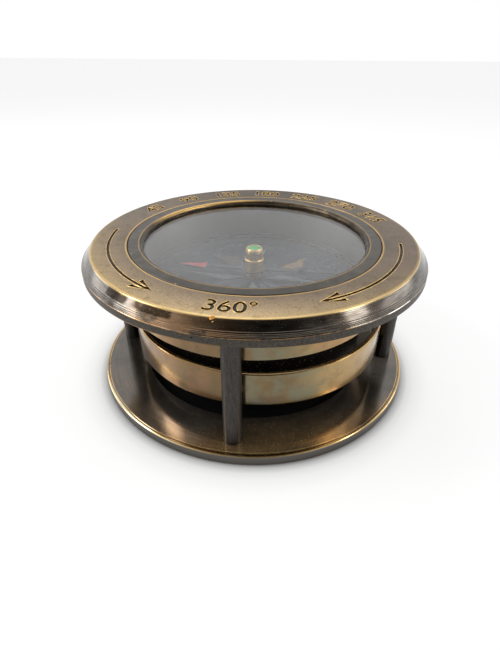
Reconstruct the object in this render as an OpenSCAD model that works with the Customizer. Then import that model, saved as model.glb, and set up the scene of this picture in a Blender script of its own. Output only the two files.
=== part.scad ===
// Desk compass: a weighted bowl hung in a gimbal ring inside a four-pillar frame.
// +Z is up. The origin is the centre of the base's underside.
// The front pillar stands on -Y, and the red end of the needle points to -X.

/* [Frame] */
// Outside diameter of the top ring
top_d = 100; // [98:0.5:102]
// Height from the table to the flat top face
frame_h = 43.4; // [43:0.1:45]
// Outside diameter of the base plate
base_d = 99; // [97:0.5:101]
// Thickness of the base plate
base_t = 3.4; // [3:0.1:3.8]
// Diameter of the opening in the base plate
base_hole_d = 71; // [70:0.5:73]
// Diameter of each pillar
pillar_d = 5; // [4.6:0.1:5.4]
// Radius of the circle that the pillars stand on
pillar_circle_r = 43.7; // [43.7:0.1:44.2]

/* [Top ring] */
// Height of the top ring
top_ring_h = 5.5; // [5.2:0.1:6]
// Width of the bevel, measured along the radius
bevel_w = 2.8; // [2:0.1:3.4]
// Height of the upright band below the bevel
band_h = 2.2; // [1.8:0.1:2.6]

/* [Bezel and glass] */
// Outside diameter of the bezel ring
bezel_d = 74.3; // [73.8:0.1:74.6]
// Diameter of the window at the top face
window_top_d = 67.8; // [67:0.1:68.5]
// Diameter of the window where it meets the glass
window_d = 65.4; // [64:0.1:66]
// Depth of the glass below the top face
glass_depth = 1.4; // [1.2:0.1:1.6]
// Thickness of the cover glass
glass_t = 1.5; // [1.2:0.1:1.6]

/* [Skirt] */
// Outside diameter of the tube that hangs below the top ring
skirt_d = 77.8; // [77.4:0.1:78.2]
// Wall of the skirt tube
skirt_wall = 1.2; // [1:0.1:1.3]
// Height of the skirt's lower edge above the table
skirt_bottom_z = 25.8; // [25.6:0.1:26.2]

/* [Gimbal ring] */
// Outside diameter of the gimbal ring
gimbal_d = 78.4; // [78:0.1:78.6]
// Wall of the gimbal ring
gimbal_wall = 1.5; // [1.3:0.1:1.6]
// Height of the gimbal ring
gimbal_h = 10.5; // [10:0.1:10.6]
// Height of both tilt axes above the table
pivot_z = 16.6; // [16.4:0.1:16.8]
// How far the ring hangs to the right of the frame's centre
gimbal_shift = 1.6; // [0:0.1:1.7]
// Diameter of the pivot pins
pivot_pin_d = 1.8; // [1.6:0.1:2]
// Radial clearance round each pivot pin
pivot_clear = 0.04; // [0.02:0.01:0.08]

/* [Bowl] */
// Outside diameter of the bowl
bowl_d = 69.2; // [68.8:0.1:69.4]
// Wall of the bowl
bowl_wall = 1; // [0.8:0.1:1.1]
// Height of the bowl's underside above the table
bowl_bottom_z = 6.5; // [6.4:0.1:7]
// Height of the bowl's rim above the table
bowl_rim_z = 29.6; // [29.4:0.1:30]
// Height of the dial card's face above the table
card_z = 28.3; // [28:0.1:28.5]
// Thickness of the dial card
card_t = 0.6; // [0.5:0.1:0.8]
// Diameter of the bowl's weight
weight_d = 54; // [50:1:56]
// Thickness of the bowl's weight
weight_t = 5; // [4:0.5:6]

/* [Needle] */
// Length from the pivot to the north tip
needle_north_l = 25; // [23:0.5:26]
// Length from the pivot to the south end
needle_south_l = 27; // [24:0.5:28]
// Width of the arrowhead
arrow_w = 4.1; // [3.5:0.1:5]
// Length of the arrowhead
arrow_l = 9.8; // [8:0.1:12]
// Width of the bar at the south end
bar_w = 1.3; // [1:0.1:2]
// Height of the needle's underside above the table
needle_z = 31.2; // [31:0.1:31.4]
// Thickness of the needle
needle_t = 0.4; // [0.3:0.05:0.5]
// Diameter of the cap's upper body
cap_d = 5.3; // [5:0.1:5.6]
// Height of the cap's top above the table
cap_top_z = 38.3; // [38.3:0.1:38.7]

/* [Hidden] */
$fn = 96;

// Overshoot of a cutter past the face it opens
cut = 0.5;
// Small gap between a thread's crest and the hole it fills
thread_gap = 0.02;
// Size of a broken edge
edge = 0.3;

// Frame
frame_floor_z = frame_h - top_ring_h;
pillar_top_z = frame_floor_z;
stud_r = 1.5;
stud_h = 3.3;
screw_r = 1.5;
screw_hole_r = 1.6;
screw_end_z = 8.5;
sink_r = 3;
sink_h = sink_r - screw_hole_r;
head_sunk = 0.15;
slot_w = 0.6;
slot_depth = 0.6;

// Bezel and glass
glass_top_z = frame_h - glass_depth;
glass_r = 34.7;
glass_seat_r = 34.8;
gasket_t = 0.4;
retainer_t = 0.8;
retainer_inner_r = 33.3;
bezel_floor_z = glass_top_z - glass_t - gasket_t - retainer_t;
notch_w = 1.6;
notch_depth = 0.8;

// Skirt
skirt_seat = 2;

// Gimbal
gimbal_r = gimbal_d / 2;
gimbal_bore_r = gimbal_r - gimbal_wall;
pin_r = pivot_pin_d / 2;
pin_hole_r = pin_r + pivot_clear;
set_screw_r = 1.25;
shoulder_gap = 0.3;
pin_past_wall = 0.3;
pivot_head_r = 2;
pivot_head_t = 1;
spot_face_r = pivot_head_r + 0.1;
spot_face_y = gimbal_r - 0.2;
bush_r = 2.2;
bush_spigot_r = 1.5;
bush_end = 36.9;
pin_end = 34;

// Bowl
bowl_r = bowl_d / 2;
bowl_bore_r = bowl_r - bowl_wall;
bowl_floor_t = 1.2;
bowl_corner_r = 2.4;
seat_w = 1.2;
card_gap = 0.15;
card_r = bowl_bore_r - card_gap;
dial_ring_w = 0.8;
dial_ring_t = 0.8;
weight_z = bowl_bottom_z + bowl_floor_t;

// Pivot post
post_r = 0.8;
post_foot_r = 2.3;
post_foot_t = 0.5;
post_cone_h = 1.1;
post_top_z = 33;
post_thread_r = 1.5;
post_thread_end_z = 24.8;
nut_r = 3;
nut_t = 1.8;
point_r = 0.45;
point_bottom_z = 31;
point_cone_h = 1.2;
point_tip_z = 36.55;

// Needle and cap
cap_bottom_z = 31;
cap_spigot_r = 2.2;
cap_lower_r = 2.75;
cap_flange_r = 3;
cap_flange_z = 34.3;
cap_flange_t = 0.7;
cap_bore_r = 1.3;
jewel_bottom_z = 36;
jewel_top_z = 36.9;
jewel_cup_h = 0.6;
enamel_r = 1.95;
enamel_bottom_z = cap_top_z - 0.5;
enamel_top_z = cap_top_z - 0.15;
eye_r = 3.9;
rider_x = 15;
rider_l = 2.6;
rider_w = 2.8;
rider_t = 1.2;
rider_slot_w = 2;
rider_slot_t = 0.46;

// Points of an arc of radius r round c, from angle a0 to angle a1.
function arc(c, r, a0, a1, n = 5) =
    [for (i = [0:n]) let (a = a0 + (a1 - a0) * i / n) c + r * [cos(a), sin(a)]];

// A ring whose section is a rectangle.
module plain_ring(r_in, r_out, z0, z1) {
    rotate_extrude() translate([r_in, z0]) square([r_out - r_in, z1 - z0]);
}

// A turned part whose section is the polygon through the points.
module turned(points) {
    rotate_extrude() polygon(points);
}

// A straight cutter for a screwdriver slot, centred on the Z axis.
module slot_cutter(r, z0, z1) {
    translate([-r, -slot_w / 2, z0]) cube([2 * r, slot_w, z1 - z0]);
}

// Places its children on each pillar's axis.
module at_pillars() {
    for (a = [0, 90, 180, 270]) rotate(a) translate([pillar_circle_r, 0, 0]) children();
}

// Base plate: a flat ring with a stepped rim and countersunk holes for the pillar screws.
module base_plate() {
    r = base_d / 2;
    hole_r = base_hole_d / 2;
    step_w = 0.45;
    step_h = 0.3;
    round_r = 0.5;
    color([0.24, 0.19, 0.14]) difference() {
        turned(concat(
            [[hole_r + edge, 0], [r - edge, 0], [r, edge]],
            arc([r - round_r, base_t - step_h - round_r], round_r, 0, 90, 4),
            [[r - round_r - step_w, base_t - step_h], [r - round_r - step_w, base_t],
             [hole_r + edge, base_t], [hole_r, base_t - edge], [hole_r, edge]]
        ));
        at_pillars() {
            translate([0, 0, -cut]) cylinder(h = base_t + 2 * cut, r = screw_hole_r);
            cylinder(h = sink_h, r1 = sink_r, r2 = screw_hole_r);
        }
    }
}

// Four slotted countersunk screws that hold the pillars from below. Heads and sinks are 90 degree cones.
module base_screws() {
    head_r = sink_r - head_sunk - thread_gap;
    color([0.66, 0.51, 0.29]) at_pillars() difference() {
        union() {
            translate([0, 0, head_sunk]) cylinder(h = head_r - screw_r, r1 = head_r, r2 = screw_r);
            translate([0, 0, sink_h]) cylinder(h = screw_end_z - sink_h, r = screw_r);
        }
        slot_cutter(sink_r, -cut, head_sunk + slot_depth);
    }
}

// One pillar: a plain rod, tapped below and turned to a stud above.
module pillar_rod() {
    difference() {
        union() {
            translate([0, 0, base_t]) cylinder(h = pillar_top_z - base_t, d = pillar_d);
            translate([0, 0, pillar_top_z]) cylinder(h = stud_h, r = stud_r);
        }
        translate([0, 0, base_t - cut])
            cylinder(h = screw_end_z + 2 * cut - base_t, r = screw_r + thread_gap);
    }
}

// A pillar that also carries one of the frame's two pivot screws.
module pivot_pillar() {
    difference() {
        pillar_rod();
        translate([-pillar_d, 0, pivot_z]) rotate([0, 90, 0])
            cylinder(h = 2 * pillar_d, r = set_screw_r + thread_gap);
    }
}

module pillar_front() {
    color([0.20, 0.19, 0.17]) translate([0, -pillar_circle_r, 0]) pillar_rod();
}

module pillar_right() {
    color([0.20, 0.19, 0.17]) translate([pillar_circle_r, 0, 0]) pivot_pillar();
}

module pillar_back() {
    color([0.20, 0.19, 0.17]) translate([0, pillar_circle_r, 0]) pillar_rod();
}

module pillar_left() {
    color([0.20, 0.19, 0.17]) translate([-pillar_circle_r, 0, 0]) pivot_pillar();
}

// Top ring: flat face, broad bevel and upright band, counterbored below for the skirt.
module top_ring() {
    r = top_d / 2;
    face_r = r - bevel_w;
    bore_r = bezel_d / 2 + thread_gap;
    seat_r = skirt_d / 2 + thread_gap;
    round_r = 0.5;
    color([0.45, 0.36, 0.24]) difference() {
        turned(concat(
            [[seat_r, frame_floor_z], [r - edge, frame_floor_z], [r, frame_floor_z + edge],
             [r, frame_floor_z + band_h - edge / 2], [r - edge / 2, frame_floor_z + band_h]],
            arc([face_r - round_r, frame_h - round_r], round_r, 50, 90, 3),
            [[bore_r + edge / 2, frame_h], [bore_r, frame_h - edge / 2],
             [bore_r, frame_floor_z + skirt_seat], [seat_r, frame_floor_z + skirt_seat]]
        ));
        at_pillars() translate([0, 0, frame_floor_z - cut])
            cylinder(h = stud_h + 0.2 + cut, r = stud_r + thread_gap);
    }
}

// Skirt: a thin brass tube let into the top ring, round the bowl's rim.
module skirt_tube() {
    r_out = skirt_d / 2;
    r_in = r_out - skirt_wall;
    top_z = frame_floor_z + skirt_seat;
    color([0.72, 0.56, 0.33]) turned([
        [r_in, skirt_bottom_z + edge], [r_in + edge, skirt_bottom_z],
        [r_out - edge, skirt_bottom_z], [r_out, skirt_bottom_z + edge],
        [r_out, top_z], [r_in, top_z]
    ]);
}

// Bezel: a ring flush with the top face. The window's edge rolls over in a quarter round.
module bezel_ring() {
    r = bezel_d / 2;
    roll_w = (window_top_d - window_d) / 2;
    roll_h = 1.1;
    steps = 6;
    color([0.34, 0.31, 0.26]) turned(concat(
        [[glass_seat_r, bezel_floor_z], [r, bezel_floor_z], [r, frame_h - edge],
         [r - edge, frame_h]],
        [for (i = [0:steps]) let (a = 90 * i / steps)
            [window_top_d / 2 - roll_w * sin(a), frame_h - roll_h + roll_h * cos(a)]],
        [[window_d / 2, glass_top_z], [glass_seat_r, glass_top_z]]
    ));
}

// Cover glass: a flat disc under the bezel's lip.
module cover_glass() {
    color([0.80, 0.86, 0.88, 0.35])
        translate([0, 0, glass_top_z - glass_t]) cylinder(h = glass_t, r = glass_r);
}

// Gasket between the glass and its retainer.
module glass_gasket() {
    color([0.08, 0.08, 0.08])
        plain_ring(retainer_inner_r, glass_r, bezel_floor_z + retainer_t, glass_top_z - glass_t);
}

// Threaded retainer below the gasket, with two notches for a pin spanner.
module glass_retainer() {
    color([0.70, 0.55, 0.32]) difference() {
        plain_ring(retainer_inner_r, glass_r, bezel_floor_z, bezel_floor_z + retainer_t);
        for (side = [-1, 1])
            translate([side * retainer_inner_r - notch_depth, -notch_w / 2, bezel_floor_z - cut])
                cube([2 * notch_depth, notch_w, retainer_t + 2 * cut]);
    }
}

// A slotted set screw along -X, from outer_x inwards, ending in a pivot pin.
// wall_x is the outer face of the ring's wall that the pin runs in.
module set_screw(outer_x, wall_x) {
    shoulder_x = wall_x + shoulder_gap;
    pin_tip_x = wall_x - gimbal_wall - pin_past_wall;
    translate([0, 0, pivot_z]) rotate([0, 90, 0]) difference() {
        union() {
            translate([0, 0, shoulder_x]) cylinder(h = outer_x - shoulder_x, r = set_screw_r);
            translate([0, 0, pin_tip_x]) cylinder(h = shoulder_x - pin_tip_x + 0.1, r = pin_r);
        }
        slot_cutter(2 * set_screw_r, outer_x - slot_depth, outer_x + cut);
    }
}

module pivot_screw_right() {
    color([0.62, 0.50, 0.32])
        set_screw(pillar_circle_r + pillar_d / 2 - 0.3, gimbal_r + gimbal_shift);
}

module pivot_screw_left() {
    color([0.62, 0.50, 0.32])
        mirror([1, 0, 0]) set_screw(pillar_circle_r + pillar_d / 2 - 0.3, gimbal_r - gimbal_shift);
}

// Gimbal ring: a short tube with rounded edges. The left and right holes are its own bearings,
// and the front and back holes hold the bowl's pivot screws.
module gimbal_ring() {
    z0 = pivot_z - gimbal_h / 2;
    z1 = pivot_z + gimbal_h / 2;
    round_r = 0.5;
    color([0.76, 0.60, 0.36]) difference() {
        translate([gimbal_shift, 0, 0]) turned(concat(
            [[gimbal_bore_r, z0 + edge], [gimbal_bore_r + edge, z0]],
            arc([gimbal_r - round_r, z0 + round_r], round_r, -90, 0, 4),
            arc([gimbal_r - round_r, z1 - round_r], round_r, 0, 90, 4),
            [[gimbal_bore_r + edge, z1], [gimbal_bore_r, z1 - edge]]
        ));
        translate([-gimbal_d, 0, pivot_z]) rotate([0, 90, 0])
            cylinder(h = 2 * gimbal_d, r = pin_hole_r);
        translate([0, gimbal_d, pivot_z]) rotate([90, 0, 0])
            cylinder(h = 2 * gimbal_d, r = set_screw_r + thread_gap);
        for (side = [0, 180]) rotate(side) translate([0, 0, pivot_z]) rotate([90, 0, 0])
            translate([0, 0, spot_face_y]) cylinder(h = gimbal_wall, r = spot_face_r);
    }
}

// Two slotted screws in the gimbal ring, seated on its spot faces. Their pins carry the bowl.
module bowl_pivot_screws() {
    head_end = spot_face_y + pivot_head_t;
    color([0.62, 0.50, 0.32]) for (side = [0, 180])
        rotate(side) translate([0, 0, pivot_z]) rotate([90, 0, 0]) difference() {
            union() {
                translate([0, 0, spot_face_y]) cylinder(h = pivot_head_t, r = pivot_head_r);
                translate([0, 0, bush_end + shoulder_gap])
                    cylinder(h = spot_face_y - bush_end - shoulder_gap, r = set_screw_r);
                translate([0, 0, pin_end])
                    cylinder(h = bush_end + 2 * shoulder_gap - pin_end, r = pin_r);
            }
            slot_cutter(2 * pivot_head_r, head_end - pivot_head_t / 2, head_end + cut);
        }
}

// Bowl: a spun cup with a rounded foot, a seat for the card and holes for its two bushes.
module bowl_shell() {
    seat_z = card_z - card_t;
    inner_corner_r = bowl_corner_r - bowl_wall;
    color([0.15, 0.13, 0.11]) difference() {
        turned(concat(
            [[0, bowl_bottom_z]],
            arc([bowl_r - bowl_corner_r, bowl_bottom_z + bowl_corner_r], bowl_corner_r, -90, 0, 5),
            [[bowl_r, bowl_rim_z - edge], [bowl_r - edge, bowl_rim_z],
             [bowl_bore_r + edge, bowl_rim_z], [bowl_bore_r, bowl_rim_z - edge],
             [bowl_bore_r, seat_z], [bowl_bore_r - seat_w, seat_z],
             [bowl_bore_r - seat_w, seat_z - 0.6], [bowl_bore_r, seat_z - 0.6 - seat_w]],
            arc([bowl_bore_r - inner_corner_r, weight_z + inner_corner_r], inner_corner_r, 0, -90, 4),
            [[0, weight_z]]
        ));
        translate([0, bowl_d, pivot_z]) rotate([90, 0, 0])
            cylinder(h = 2 * bowl_d, r = bush_spigot_r + thread_gap);
        translate([0, 0, bowl_bottom_z - cut])
            cylinder(h = bowl_floor_t + 2 * cut, r = screw_hole_r);
    }
}

// Two flanged bushes in the bowl's wall, bored for the pivot pins.
module bowl_bushes() {
    color([0.70, 0.55, 0.32]) for (side = [0, 180])
        rotate(side) translate([0, 0, pivot_z]) rotate([90, 0, 0]) difference() {
            union() {
                translate([0, 0, bowl_r]) cylinder(h = bush_end - bowl_r, r = bush_r);
                translate([0, 0, bowl_bore_r - 0.3])
                    cylinder(h = bowl_wall + 0.4, r = bush_spigot_r);
            }
            translate([0, 0, bowl_bore_r - 1])
                cylinder(h = bush_end - bowl_bore_r + 2, r = pin_hole_r);
        }
}

// Weight in the bottom of the bowl, which keeps the card level.
module bowl_weight() {
    r = weight_d / 2;
    color([0.66, 0.51, 0.29]) difference() {
        turned([[0, weight_z], [r - 1, weight_z], [r, weight_z + 1],
                [r, weight_z + weight_t - 1], [r - 1, weight_z + weight_t],
                [0, weight_z + weight_t]]);
        translate([0, 0, weight_z - cut])
            cylinder(h = weight_t - 0.5 + cut, r = screw_r + thread_gap);
    }
}

// Slotted screw through the bowl's floor into the weight.
module weight_screw() {
    head_r = 2.75;
    head_t = 1.2;
    color([0.66, 0.51, 0.29]) difference() {
        union() {
            translate([0, 0, bowl_bottom_z - head_t]) cylinder(h = head_t, r = head_r);
            translate([0, 0, bowl_bottom_z])
                cylinder(h = bowl_floor_t + weight_t - 1, r = screw_r);
        }
        slot_cutter(2 * head_r, bowl_bottom_z - head_t - cut, bowl_bottom_z - head_t + slot_depth);
    }
}

// Dial card: a thin printed disc on the bowl's seat.
module dial_card() {
    color([0.17, 0.20, 0.25]) difference() {
        translate([0, 0, card_z - card_t]) cylinder(h = card_t, r = card_r);
        translate([0, 0, card_z - card_t - cut])
            cylinder(h = card_t + 2 * cut, r = post_thread_r + thread_gap);
    }
}

// Flat ring that holds the card down.
module dial_ring() {
    color([0.72, 0.56, 0.33])
        plain_ring(card_r - dial_ring_w, card_r, card_z, card_z + dial_ring_t);
}

// Pivot post: a coned foot on the card, a slim stem, and a threaded tail below.
module pivot_post() {
    foot_z = card_z + post_foot_t;
    color([0.66, 0.51, 0.29]) difference() {
        turned([[0, post_thread_end_z], [post_thread_r, post_thread_end_z],
                [post_thread_r, card_z], [post_foot_r, card_z], [post_foot_r, foot_z],
                [post_r, foot_z + post_cone_h], [post_r, post_top_z], [0, post_top_z]]);
        translate([0, 0, point_bottom_z])
            cylinder(h = post_top_z - point_bottom_z + cut, r = point_r + thread_gap);
    }
}

// Hexagon nut that clamps the post under the card.
module post_nut() {
    color([0.66, 0.51, 0.29]) translate([0, 0, card_z - card_t - nut_t]) difference() {
        cylinder(h = nut_t, r = nut_r, $fn = 6);
        translate([0, 0, -cut]) cylinder(h = nut_t + 2 * cut, r = post_thread_r + thread_gap);
    }
}

// Steel point that the needle turns on.
module pivot_point() {
    color([0.62, 0.63, 0.65]) turned([
        [0, point_bottom_z], [point_r, point_bottom_z], [point_r, point_tip_z - point_cone_h],
        [0.05, point_tip_z], [0, point_tip_z]
    ]);
}

// Needle: a flat bar with an eye for the cap and a broad arrowhead at the north end.
module needle_blade() {
    head_x = -(needle_north_l - arrow_l);
    corner_r = 0.5;
    head_half = arrow_w / 2 - corner_r;
    color([0.62, 0.10, 0.12]) translate([0, 0, needle_z]) linear_extrude(needle_t)
        polygon(concat(
            [[-needle_north_l, 0]],
            arc([head_x - corner_r, head_half], corner_r, 105, 0, 4),
            arc([head_x - corner_r, -head_half], corner_r, 0, -105, 4)
        ));
    color([0.14, 0.16, 0.20]) translate([0, 0, needle_z]) linear_extrude(needle_t)
        difference() {
            union() {
                circle(r = eye_r);
                polygon([[head_x - 1, -bar_w / 2], [0, -bar_w], [needle_south_l, -bar_w / 2],
                         [needle_south_l, bar_w / 2], [0, bar_w], [head_x - 1, bar_w / 2]]);
            }
            circle(r = cap_spigot_r + thread_gap);
        }
}

// Cap: the needle's brass hub, with a chamfered top, a fine groove below it, a flange at mid
// height and a bore for the pivot point.
module needle_cap() {
    r = cap_d / 2;
    lip = 0.25;
    chamfer = 0.4;
    groove_z = cap_top_z - 0.8;
    groove = 0.12;
    shoulder_z = needle_z + needle_t;
    color([0.78, 0.62, 0.36]) difference() {
        turned([
            [0, cap_bottom_z], [cap_spigot_r, cap_bottom_z], [cap_spigot_r, shoulder_z],
            [cap_lower_r, shoulder_z], [cap_lower_r, cap_flange_z], [cap_flange_r, cap_flange_z],
            [cap_flange_r, cap_flange_z + cap_flange_t - lip], [r, cap_flange_z + cap_flange_t],
            [r, groove_z - groove], [r - groove, groove_z], [r, groove_z + groove],
            [r, cap_top_z - chamfer], [r - chamfer, cap_top_z], [enamel_r, cap_top_z],
            [enamel_r, enamel_bottom_z], [0, enamel_bottom_z]
        ]);
        translate([0, 0, cap_bottom_z - cut])
            cylinder(h = jewel_top_z - cap_bottom_z + cut, r = cap_bore_r);
    }
}

// Green enamel in the cap's top.
module cap_enamel() {
    color([0.10, 0.62, 0.36]) translate([0, 0, enamel_bottom_z])
        cylinder(h = enamel_top_z - enamel_bottom_z, r = enamel_r);
}

// Jewel in the cap's bore, cupped below for the point.
module cap_jewel() {
    color([0.55, 0.10, 0.14]) difference() {
        translate([0, 0, jewel_bottom_z])
            cylinder(h = jewel_top_z - jewel_bottom_z, r = cap_bore_r);
        translate([0, 0, jewel_bottom_z - 0.01]) cylinder(h = jewel_cup_h, r1 = 0.8, r2 = 0.12);
    }
}

// Rider: a small sleeve on the south arm that balances the arrowhead.
module balance_rider() {
    color([0.72, 0.56, 0.33])
        translate([rider_x, 0, needle_z + needle_t / 2]) difference() {
            cube([rider_l, rider_w, rider_t], center = true);
            cube([rider_l + 2 * cut, rider_slot_w, rider_slot_t], center = true);
        }
}

base_plate();
base_screws();
pillar_front();
pillar_right();
pillar_back();
pillar_left();
top_ring();
skirt_tube();
bezel_ring();
cover_glass();
glass_gasket();
glass_retainer();
pivot_screw_right();
pivot_screw_left();
gimbal_ring();
bowl_pivot_screws();
bowl_shell();
bowl_bushes();
bowl_weight();
weight_screw();
dial_card();
dial_ring();
pivot_post();
post_nut();
pivot_point();
needle_blade();
needle_cap();
cap_enamel();
cap_jewel();
balance_rider();
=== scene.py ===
import math

import bmesh
import bpy
from mathutils import Matrix, Quaternion, Vector


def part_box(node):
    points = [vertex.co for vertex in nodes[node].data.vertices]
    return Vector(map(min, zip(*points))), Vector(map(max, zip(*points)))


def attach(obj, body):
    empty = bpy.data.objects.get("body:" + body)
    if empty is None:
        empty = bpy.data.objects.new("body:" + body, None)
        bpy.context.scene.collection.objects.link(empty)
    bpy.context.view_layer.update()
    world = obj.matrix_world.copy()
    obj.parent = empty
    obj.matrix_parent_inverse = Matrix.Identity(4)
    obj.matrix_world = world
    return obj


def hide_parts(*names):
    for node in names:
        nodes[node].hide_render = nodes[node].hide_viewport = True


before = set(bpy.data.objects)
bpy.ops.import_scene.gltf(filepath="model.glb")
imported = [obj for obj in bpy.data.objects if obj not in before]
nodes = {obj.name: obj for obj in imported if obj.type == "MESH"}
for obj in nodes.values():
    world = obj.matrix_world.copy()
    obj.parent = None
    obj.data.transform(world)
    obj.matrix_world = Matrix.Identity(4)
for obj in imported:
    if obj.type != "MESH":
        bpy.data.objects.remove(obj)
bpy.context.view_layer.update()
MM = 0.001

# Heights and radii taken from the frame
FACE_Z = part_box("top_ring")[1].z
RING_FOOT_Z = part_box("top_ring")[0].z
RING_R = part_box("top_ring")[1].x
BEZEL_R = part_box("bezel_ring")[1].x
CARD_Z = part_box("dial_card")[1].z
BASE_TOP_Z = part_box("pillar_front")[0].z
BASE_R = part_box("base_plate")[1].x
PILLAR_CIRCLE_R = (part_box("pillar_right")[0].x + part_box("pillar_right")[1].x) / 2
SKIRT_FOOT_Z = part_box("skirt_tube")[0].z
SKIRT_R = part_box("skirt_tube")[1].x
GIMBAL_FOOT_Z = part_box("gimbal_ring")[0].z
GIMBAL_TOP_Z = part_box("gimbal_ring")[1].z
GIMBAL_SHIFT = (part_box("gimbal_ring")[0].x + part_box("gimbal_ring")[1].x) / 2
GIMBAL_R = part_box("gimbal_ring")[1].x - GIMBAL_SHIFT

# Places on the pieces that their boxes don't give
LEDGE_R = BASE_R - 0.95 * MM
HOLE_R = 35.5 * MM
BASE_SHADED_R = (43 * MM, 46 * MM)
WINDOW_R = 33.9 * MM
ROLL_EDGE_R = 33.2 * MM
ROLL_RUBBED_R = (32.72 * MM, 33 * MM)
ARROWHEAD_X = -15.4 * MM
PAINT_TIP_X = -24.2 * MM
PAINT_SLOPE = 0.2

# Section of the top ring
BEVEL_W = 2.8 * MM
BROW_R = RING_R - BEVEL_W
BAND_H = 2.2 * MM
FACE_W = BROW_R - BEZEL_R
SKIRT_SEAT_H = 2 * MM
SEAT_GAP = 0.02 * MM
FOOT_ROUNDING = 0.3 * MM
BAND_ROUNDING = 0.15 * MM
BROW_ROUNDING = 0.6 * MM
BORE_ROUNDING = 0.25 * MM
GROOVES_AT = (0.09, 0.16, 0.24, 0.35)
GROOVE_W = 0.2 * MM
GROOVE_DEPTH = 0.04 * MM
STUD_R = 1.52 * MM
STUD_H = 3.5 * MM
AROUND = 384
ROUNDING_STEPS = 6
SHARP_FROM = 17

# Nicks in the ring's edges: azimuth, distance from the axis, height and size in millimetres
GOLD_NICKS = ((-94.0, 47.45, 43.4, 0.75), (-93.6, 48.0, 42.7, 0.3))
DARK_NICKS = ((-98.6, 50.15, 39.3, 0.38), (-71.0, 50.05, 40.2, 0.25), (-121, 50.05, 40.1, 0.22))
NICK_SLANT = 40
NICK_SHAPE = (0.7, 1.3, 0.8, 1)

# Painted dark reflections on the bevel: azimuth, half width in degrees, strength
DARK_REFLECTIONS = ((-125, 5.5, 3), (-111, 8, 1.5), (-63, 6, 0.7))

# Engraving on the top face
CUT_DEPTH = 0.35 * MM
CUT_R = 42.3 * MM
LIP_R = 0.13 * MM
CHARACTER_H = 4.9 * MM
FIGURE_SHARE = 0.73
STROKE_GAIN = 0.16 * MM
ARC_STEP = 1 * MM
MERGED = 0.002 * MM
BEARINGS = (45, 90, 135, 180, 225, 270, 315)
FIRST_BEARING_AT = 152
LAST_BEARING_AT = 30

# Arrows of the engraving, and how far from the front in degrees they start and end
ARROW_START = 89
ARROW_TIP = 27
SHAFT_HALF_W = 0.46 * MM
SHAFT_TAPER = 0.2 * MM
SHAFT_END = 2.2 * MM
BARB_BACK = 6.4 * MM
BARB_OUT = 2.4 * MM
BARB_W = 1.5 * MM
BARB_SLANT = 0.3 * MM

# Print on the card. Its leaves, circles and rays are in plain millimetres
CARD_TURN = 176
PRINT_LAYER = 0.012 * MM
TICK_COUNT = 72
TICKS_R = 29.4 * MM
TICK = (1.6 * MM, 0.22 * MM)
CARD_MARKS = ("N", "30", "60", "E", "120", "150", "S", "210", "240", "W", "300", "330")
MARK_H = 2.6 * MM
MARK_R = 27 * MM
LEAF_ROW = (16, CARD_TURN + 11.25, 3.4, 14.2, 2.5)  # count, turn, foot, tip, width
LEAF_STEPS = (0.12, 0.3, 0.5, 0.7, 0.88)
CIRCLES = (15.4, 24.6, 25.2, 30.6)
CIRCLE_W = 0.2
CIRCLE_QUADS = 144

# Camera, as the photograph was taken
CAMERA_REACH = 132.3 * MM
CAMERA_LIFT = 21.39
CAMERA_TURN = 6.83
CAMERA_YAW = 0.49
CAMERA_PITCH = -11.8
CAMERA_ROLL = -0.41
CAMERA_LENS = 23.95
SENSOR = 36

# Lamps: name, azimuth, elevation, width, height, radiance, lean
LAMP_REACH = 0.6
LAMPS = (
    ("softbox_left", -172, 34, 17, 36, 6.5, 25),
    ("softbox_left_tail", -150, 33, 17, 13, 1.4, 0),
    ("softbox_low_left", 168, 13, 24, 14, 2, 0),
    ("softbox_back", 103, 45, 18, 16, 2.8, 0),
    ("softbox_right", -14, 34, 12, 12, 8, 0),
    ("softbox_far_right", 2, 47, 22, 14, 2.4, 0),
    ("softbox_low_right", 14, 17, 30, 14, 1.8, 0),
)

# Surroundings. Dim places: azimuth and elevation, angles where they start and are full, level
AMBIENT_LEVEL = 0.75
DARK_CORNER = ((-80, 47), 48, 9, 0.07)
FAR_WALL = ((97, 16), 12, 0, 0.52)

# Table, and how far its own glow lifts it, from the base's edge outwards; the glow's fall towards the base is
# a painted contact shadow
TABLE_HALF = 3.0
TABLE_WHITE = 0.34
TABLE_LIFT_W = 10 * MM
TABLE_LIFTS = ((0, 0), (0.08, 0.2), (0.26, 0.48), (0.45, 0.58), (0.8, 0.65), (1, 0.67))

# Share of the base that dust covers evenly
DUST_HAZE = 0.3


def tint(red, green, blue):
    """A colour from its screen values, 0 to 255, as a linear one."""
    def linear(c):
        c = c / 255
        return c / 12.92 if c <= 0.04045 else ((c + 0.055) / 1.055) ** 2.4
    return (linear(red), linear(green), linear(blue), 1)


# Nodes

def put(tree, kind, inputs=None, **settings):
    """Adds a node. An input is a plain value or another node's output."""
    made = tree.nodes.new(kind)
    for key, value in settings.items():
        setattr(made, key, value)
    for key, value in (inputs or {}).items():
        if isinstance(value, bpy.types.NodeSocket):
            tree.links.new(value, made.inputs[key])
        else:
            made.inputs[key].default_value = value
    return made


def maths(tree, operation, a, b=0.0):
    return put(tree, "ShaderNodeMath", {0: a, 1: b}, operation=operation).outputs[0]


def times(tree, a, b):
    return maths(tree, "MULTIPLY", a, b)


def plus(tree, a, b):
    return maths(tree, "ADD", a, b)


def unless(tree, mask):
    """The mask turned round: 1 where it is 0, and 0 where it is 1."""
    return maths(tree, "SUBTRACT", 1, mask)


def either(tree, a, b):
    """The larger of two masks."""
    return maths(tree, "MAXIMUM", a, b)


def at_most(tree, value, limit):
    return maths(tree, "MINIMUM", value, limit)


def dot(tree, a, b):
    return put(tree, "ShaderNodeVectorMath", {0: a, 1: b}, operation="DOT_PRODUCT").outputs["Value"]


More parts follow.
